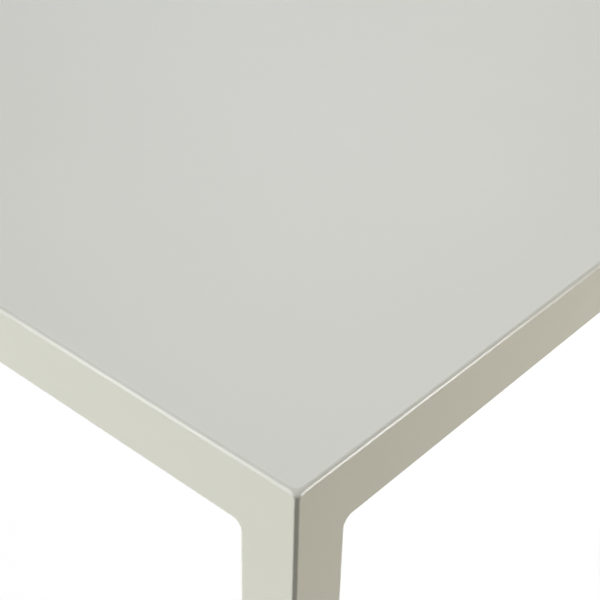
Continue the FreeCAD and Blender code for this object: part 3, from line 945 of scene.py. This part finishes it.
@dataclass(frozen=True)
class LevellingFoot:
    """What closes a leg and levels the table: a ribbed plug with a nut, and a screw that turns in a pad.

    The pad's radii go from the floor's edge up to the neck. Each pair of the plug's radii is that of the
    upright edges and that of the lower edge.
    """

    corner: Corner
    plug: Finish = MouldedPlastic()
    zinc: Finish = ZincPlate()
    pad: Finish = MouldedPlastic(Slot.PAD, "moulded_black_polyethylene", "#212121", "#2D2D2C", 0.5)
    turn_steps: int = 72
    pitch: float = 0.00125
    pitch_steps: int = 12
    thread_depth: float = 0.00068
    thread_root: float = 0.2
    thread_flank: float = 0.65
    tip_bevel: float = 0.001
    collar_width: float = 0.013
    collar_low: float = 0.0102
    collar_height: float = 0.005
    bevel_height: float = 0.0008
    bevel_share: float = 0.475
    bevel_steps: int = 5
    shank: float = 0.004
    head: float = 0.007
    head_top: float = 0.006
    head_radii: tuple[float, ...] = (0.0006, 0.0006, 0.0002)
    head_steps: int = 4
    bore_gap: float = 0.00005
    seat_gap: float = 0.0002
    rim_height: float = 0.003
    cone_top: float = 0.011
    pad_radii: tuple[float, ...] = (0.0008, 0.0012, 0.0012, 0.0004)
    pad_steps: int = 5
    flange_height: float = 0.004
    flange_radii: tuple[float, float] = (0.0035, 0.0008)
    shell_half: float = 0.0205
    shell_radii: tuple[float, float] = (0.002, 0.0)
    ribs: int = 3
    rib_start: float = 0.006
    rib_pitch: float = 0.0066667
    rib_height: float = 0.0012
    rib_half: float = 0.0219
    rib_radii: tuple[float, float] = (0.0025, 0.0003)
    plug_steps: int = 6
    lip_steps: int = 4

    @property
    def middle(self) -> Vector:
        """The middle of the pad, on the floor."""
        low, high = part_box(f"foot_pad_{self.corner.label}")
        return Vector(((low.x + high.x) / 2, (low.y + high.y) / 2, low.z))

    @property
    def angle(self) -> Array:
        """Even angles through a whole turn, shape (turn, 1)."""
        return np.linspace(0, 2 * math.pi, self.turn_steps + 1)[:, None]

    def hexagon(self, width: float) -> Array:
        """The reach of a hexagon's side: half its width over the cosine of the angle from the side's middle."""
        sixth = math.pi / 3
        return width / 2 / np.cos((self.angle + sixth / 2) % sixth - sixth / 2)

    def spun(self, reach: Array, height: Array | float) -> Array:
        """Places for a reach and a height, spread to the shape (turn, rows), about the foot's axis."""
        across = (self.middle.x + reach * np.cos(self.angle), self.middle.y + reach * np.sin(self.angle))
        return np.stack([*across, np.broadcast_to(height, reach.shape)], axis=2)

    def outward(self, points: Array) -> Array:
        """Directions away from the foot's axis."""
        return (points - (self.middle.x, self.middle.y, 0)) * (1, 1, 0)

    def add_hexagon(self, patches: Patchwork, low: float, height: float, bore: float) -> None:
        """Adds a hexagon whose corners are turned off at both ends.

        The reach is the lesser of the hexagon's and that of a cone of 30 degrees at each end. Flat rings close
        the ends down to the bore.

        Args:
            patches: What the surfaces are added to.
            low: Where the hexagon starts.
            height: How high it is.
            bore: The radius of its bore.
        """
        bevel = np.linspace(0, self.bevel_height, self.bevel_steps + 1)
        rise = np.append(bevel, height - bevel[::-1])[None]
        cone = self.bevel_share * self.collar_width + np.minimum(rise, height - rise) * math.sqrt(3)
        reach = np.minimum(self.hexagon(self.collar_width), cone)
        points = self.spun(reach, low + rise)
        patches.add_grid(points, self.outward(points), flat=True)
        for end, way in ((0, -1), (-1, 1)):
            ring = np.hstack([np.full_like(self.angle, bore), reach[:, end][:, None]])
            patches.add_grid(self.spun(ring, low + rise[0, end]), np.array([0, 0, way]), flat=True)

    def build_screw(self) -> None:
        """Builds head, neck, collar and thread on one axis.

        The thread's reach rises and falls once a pitch along the height and once a turn round the axis, cut
        flat at crest and root, and stays under a cone of 45 degrees at the tip.
        """
        label = self.corner.label
        node = f"foot_screw_{label}"
        low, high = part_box(node)
        collar_top = self.collar_low + self.collar_height
        profile = [
            (0, low.z),
            (self.head, low.z),
            (self.head, self.head_top),
            (self.shank, self.head_top),
            (self.shank, self.collar_low),
            (0, self.collar_low),
        ]
        outline = softened(np.array(profile), [0, *self.head_radii, 0, 0], self.head_steps)
        patches = Patchwork()
        patches.add_turned(outline, self.middle, self.turn_steps)
        self.add_hexagon(patches, self.collar_low, self.collar_height, 0.0)
        height = np.arange(collar_top, high.z, self.pitch / self.pitch_steps)[None]
        phase = (height / self.pitch - self.angle / (2 * math.pi)) % 1
        ridge = np.clip((1 - np.abs(2 * phase - 1) - self.thread_root) / self.thread_flank, 0, 1)
        run_out = np.clip((height - collar_top) / self.pitch, 0, 1)
        reach = self.shank - self.thread_depth * (1 - ridge * run_out)
        reach = np.minimum(reach, self.shank - self.tip_bevel + (high.z - height))
        points = self.spun(reach, height)
        normals = grid_normals(points)
        normals *= np.sign((normals * self.outward(points)).sum())
        patches.add_grid(points, normals)
        patches.add_cap(points[:-1, -1], (0, 0, 1))
        patches.add_cap(points[:-1, 0], (0, 0, -1))
        patches.to_piece(f"levelling_screw_{label}", self.zinc, f"screw_{label}", node)

    def build_nut(self) -> None:
        """Builds the nut as a hexagon with turned-off corners, and its bore."""
        label = self.corner.label
        node = f"leg_nut_{label}"
        low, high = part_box(node)
        bore = self.shank + self.bore_gap
        patches = Patchwork()
        self.add_hexagon(patches, low.z, high.z - low.z, bore)
        points = self.spun(np.full((self.turn_steps + 1, 2), bore), np.array([low.z, high.z]))
        patches.add_grid(points, -self.outward(points))
        patches.to_piece(f"plug_nut_{label}", self.zinc, "frame", node)

    def build_pad(self) -> None:
        """Turns the pad's section about the axis: a rim, a cone, and the seat of the screw's head."""
        label = self.corner.label
        node = f"foot_pad_{label}"
        low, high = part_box(node)
        wide = (high.x - low.x) / 2
        neck, hollow = self.shank + self.seat_gap, self.head + self.seat_gap
        roof = self.head_top + self.seat_gap
        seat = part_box(f"foot_screw_{label}")[0].z - self.seat_gap / 4
        section = [
            (0, low.z),
            (wide, low.z),
            (wide, low.z + self.rim_height),
            (self.cone_top, high.z),
            (neck, high.z),
            (neck, roof),
            (hollow, roof),
            (hollow, seat),
            (0, seat),
        ]
        outline = softened(np.array(section), [0, *self.pad_radii, 0, 0, 0, 0], self.pad_steps)
        patches = Patchwork()
        patches.add_turned(outline, self.middle, self.turn_steps)
        patches.to_piece(f"levelling_pad_{label}", self.pad, f"pad_{label}", node)

    def add_block(
        self, patches: Patchwork, middle: Array, half: float, radii: tuple[float, float], base: float, top: float
    ) -> None:
        """Adds a square block, its upright edges round and its lower edge softened by a quarter round.

        Args:
            patches: What the surfaces are added to.
            middle: The middle of its plan.
            half: Half its width.
            radii: The radius of the upright edges and that of the lower edge.
            base: Where it starts.
            top: Where it ends.
        """
        plan, outward = softened(rectangle(middle - half, middle + half), radii[0], self.plug_steps)
        tilt = quarter_turn(self.lip_steps)
        inset = np.append(radii[1] * (1 - np.sin(tilt)), 0)
        rise = np.append(base + radii[1] * (1 - np.cos(tilt)), top)
        flat = plan[:, None] - outward[:, None] * inset[:, None]
        points = np.dstack([flat, np.broadcast_to(rise, flat.shape[:2])])
        out, down = np.append(np.sin(tilt), 1), np.append(-np.cos(tilt), 0)
        normals = np.dstack([outward[:, None] * out[:, None], np.broadcast_to(down, flat.shape[:2])])
        patches.add_grid(points, normals)
        patches.add_cap(points[:-1, 0], (0, 0, -1))
        patches.add_cap(points[:-1, -1], (0, 0, 1))

    def build_plug(self) -> None:
        """Builds the plug of a softened flange, a square shell and thin ribs round it."""
        label = self.corner.label
        node = f"leg_plug_{label}"
        low, high = span(node)
        middle = (low[:2] + high[:2]) / 2
        flange_top = low[2] + self.flange_height
        patches = Patchwork()
        self.add_block(patches, middle, (high[0] - low[0]) / 2, self.flange_radii, low[2], flange_top)
        self.add_block(patches, middle, self.shell_half, self.shell_radii, flange_top, high[2])
        for number in range(self.ribs):
            base = flange_top + self.rib_start + number * self.rib_pitch
            self.add_block(patches, middle, self.rib_half, self.rib_radii, base, base + self.rib_height)
        patches.to_piece(f"leg_end_plug_{label}", self.plug, "frame", node)

    def build(self) -> None:
        """Builds the foot's four pieces."""
        self.build_plug()
        self.build_nut()
        self.build_screw()
        self.build_pad()


class Task(Enum):
    """What a soft box is for, as the kind of ray that doesn't see it."""

    FILL = "visible_glossy"
    SHINE = "visible_diffuse"


@dataclass(frozen=True)
class SoftBox:
    """A soft light: an even panel that faces the table, and either lights surfaces or shows as a highlight.

    Bearing and rise are in degrees, away and size in metres, and glow is how bright the panel's face is.
    """

    name: str
    task: Task
    bearing: float
    rise: float
    away: float
    size: tuple[float, float]
    glow: float
    colour: str = "#FFFFFF"

    def build(self, target: Vector) -> None:
        """Sets the panel at its bearing and rise, and turns it to the target.

        Args:
            target: The point that the panel faces.
        """
        bearing, rise = math.radians(self.bearing), math.radians(self.rise)
        way = Vector((math.cos(rise) * math.cos(bearing), math.cos(rise) * math.sin(bearing), math.sin(rise)))
        lamp = bpy.data.lights.new(self.name, "AREA")
        lamp.shape = "RECTANGLE"
        lamp.size, lamp.size_y = self.size
        lamp.energy = self.glow * math.pi * self.size[0] * self.size[1]
        lamp.color = linear(self.colour)[:3]
        panel = bpy.data.objects.new(self.name, lamp)
        panel.location = target + way * self.away
        panel.rotation_euler = way.to_track_quat("Z", "Y").to_euler()
        panel.visible_camera = False
        setattr(panel, self.task.value, False)
        bpy.context.scene.collection.objects.link(panel)
        log.info("%s: soft box at bearing %g, rise %g", self.name, self.bearing, self.rise)


@dataclass(frozen=True)
class Studio:
    """A white floor and surround, soft boxes on both sides of the photographed corner, and the camera.

    The surround has one strength as a light and another, gloss, in reflections. Paper is how white the floor
    looks, shadow how much light it gives back to the camera, and bounce its colour for the light on the table.
    From near to far, in metres, the floor fades to plain white.
    """

    floor_half: float = 30.0
    boxes: tuple[SoftBox, ...] = (
        SoftBox("left_fill", Task.FILL, -140.0, 7.0, 12.0, (5.4, 5.4), 23.6, "#FCFFFF"),
        SoftBox("right_fill", Task.FILL, 50.0, 30.0, 4.0, (1.8, 1.8), 4.6, "#FFFBF2"),
        SoftBox("right_low_fill", Task.FILL, 50.0, 5.0, 3.0, (1.35, 1.35), 6.0, "#FFFAEA"),
        SoftBox("back_fill", Task.FILL, 131.0, 25.0, 12.0, (6.0, 6.0), 5.4, "#EEF3FF"),
        SoftBox("high_fill", Task.FILL, -49.0, 88.0, 8.0, (5.7, 5.7), 2.25, "#F6F8FF"),
        SoftBox("left_low_shine", Task.SHINE, -138.0, 36.0, 12.0, (4.0, 4.0), 3.6),
        SoftBox("left_shine", Task.SHINE, -152.0, 48.0, 12.0, (4.0, 4.0), 5.0),
        SoftBox("left_high_shine", Task.SHINE, -175.0, 54.0, 12.0, (4.0, 4.0), 4.5),
        SoftBox("right_shine", Task.SHINE, 48.0, 32.0, 12.0, (4.0, 4.0), 6.8),
        SoftBox("right_high_shine", Task.SHINE, 60.0, 44.0, 12.0, (4.0, 4.0), 8.4),
        SoftBox("back_shine", Task.SHINE, 131.0, 36.0, 14.0, (8.8, 6.4), 1.8, "#EEF3FF"),
    )
    target: Triple = (0.9, -0.45, 0.74)
    surround: float = 0.12
    gloss: float = 0.2
    paper: float = 0.885
    shadow: float = 0.16
    bounce: str = "#A09C8E"
    near: float = 2.0
    far: float = 5.0
    lens: float = 76.149
    camera_place: Triple = (1.27207, -0.88456, 1.27495)
    camera_right: Triple = (0.7485, 0.66281, 0.02085)
    camera_up: Triple = (-0.38583, 0.40971, 0.8266)
    camera_back: Triple = (0.53933, -0.62676, 0.5624)

    def build_floor(self) -> None:
        """Lays a floor that looks white, keeps the table's soft shadow, and is clear from below.

        To the camera it is a veil before the white surround, so a foot that is screwed out below it still shows.
        """
        half = self.floor_half
        mesh = bpy.data.meshes.new("studio_floor")
        mesh.from_pydata([(-half, -half, 0), (half, -half, 0), (half, half, 0), (-half, half, 0)], [], [(0, 1, 2, 3)])
        floor = bpy.data.objects.new("studio_floor", mesh)
        bpy.context.scene.collection.objects.link(floor)
        material = bpy.data.materials.new("white_studio_floor")
        material.use_nodes = True
        tree = material.node_tree
        tree.nodes.clear()
        path = add_node(tree, "ShaderNodeLightPath").outputs
        seen = path["Is Camera Ray"]
        for ray in ("Is Glossy Ray", "Is Transmission Ray"):
            seen = add_node(tree, "ShaderNodeMath", {0: seen, 1: path[ray]}, operation="MAXIMUM").outputs[0]
        bounce = add_node(tree, "ShaderNodeBsdfDiffuse", values={"Color": linear(self.bounce)})
        shadow = add_node(tree, "ShaderNodeBsdfDiffuse", values={"Color": (self.shadow,) * 3 + (1,)})
        white = add_node(tree, "ShaderNodeEmission", values={"Strength": self.paper})
        veil = add_node(tree, "ShaderNodeBsdfTransparent", values={"Color": (self.paper,) * 3 + (1,)})
        links = {0: path["Is Camera Ray"], 1: white.outputs[0], 2: veil.outputs[0]}
        white = add_node(tree, "ShaderNodeMixShader", links)
        paper = add_node(tree, "ShaderNodeAddShader", {0: shadow.outputs[0], 1: white.outputs[0]})
        place = add_node(tree, "ShaderNodeTexCoord").outputs["Object"]
        away = add_node(tree, "ShaderNodeVectorMath", {0: place}, operation="LENGTH").outputs["Value"]
        fade = add_node(
            tree,
            "ShaderNodeMapRange",
            {"Value": away},
            {"From Min": self.near, "From Max": self.far},
            interpolation_type="SMOOTHSTEP",
        )
        bare = add_node(tree, "ShaderNodeEmission", values={"Strength": 1.0})
        paper = add_node(tree, "ShaderNodeMixShader", {0: fade.outputs[0], 1: paper.outputs[0], 2: bare.outputs[0]})
        above = add_node(tree, "ShaderNodeMixShader", {0: seen, 1: bounce.outputs[0], 2: paper.outputs[0]})
        clear = add_node(tree, "ShaderNodeBsdfTransparent")
        under = add_node(tree, "ShaderNodeNewGeometry").outputs["Backfacing"]
        whole = add_node(tree, "ShaderNodeMixShader", {0: under, 1: above.outputs[0], 2: clear.outputs[0]})
        add_node(tree, "ShaderNodeOutputMaterial", {"Surface": whole.outputs[0]})
        mesh.materials.append(material)

    def build_surround(self) -> None:
        """Makes the surround white to the camera, dimmer in reflections, and a dim even light otherwise."""
        world = bpy.data.worlds.new("white_surround")
        bpy.context.scene.world = world
        world.use_nodes = True
        tree = world.node_tree
        tree.nodes.clear()
        path = add_node(tree, "ShaderNodeLightPath").outputs
        dim, gloss, white = (
            add_node(tree, "ShaderNodeBackground", values={"Color": WHITE, "Strength": strength}).outputs[0]
            for strength in (self.surround, self.gloss, 1.0)
        )
        rays = {0: path["Is Glossy Ray"], 1: path["Is Transmission Ray"]}
        shine = add_node(tree, "ShaderNodeMath", rays, operation="MAXIMUM").outputs[0]
        mixed = add_node(tree, "ShaderNodeMixShader", {0: shine, 1: dim, 2: gloss}).outputs[0]
        whole = add_node(tree, "ShaderNodeMixShader", {0: path["Is Camera Ray"], 1: mixed, 2: white})
        add_node(tree, "ShaderNodeOutputWorld", {"Surface": whole.outputs[0]})

    def build_camera(self) -> None:
        """Looks down at the front right corner from in front, as the photograph does."""
        lens = bpy.data.cameras.new("camera")
        lens.lens = self.lens
        camera = bpy.data.objects.new("camera", lens)
        turn = Matrix((self.camera_right, self.camera_up, self.camera_back)).transposed().to_4x4()
        camera.matrix_world = Matrix.Translation(self.camera_place) @ turn
        bpy.context.scene.collection.objects.link(camera)
        bpy.context.scene.camera = camera

    def build(self) -> None:
        """Builds the floor, the surround, the lights and the camera, and sets the plain view transform."""
        bpy.context.scene.view_settings.view_transform = "Standard"
        self.build_floor()
        self.build_surround()
        for box in self.boxes:
            box.build(Vector(self.target))
        self.build_camera()


def main() -> None:
    """Builds the table's pieces in order, then the studio."""
    logging.basicConfig(level=logging.INFO, format="%(message)s")
    Top().build()
    for side in Side:
        Rail(side).build()
    for corner in Corner:
        Leg(corner).build()
    UnderTop().build()
    for corner in Corner:
        LevellingFoot(corner).build()
    Studio().build()


if __name__ == "__main__":
    main()
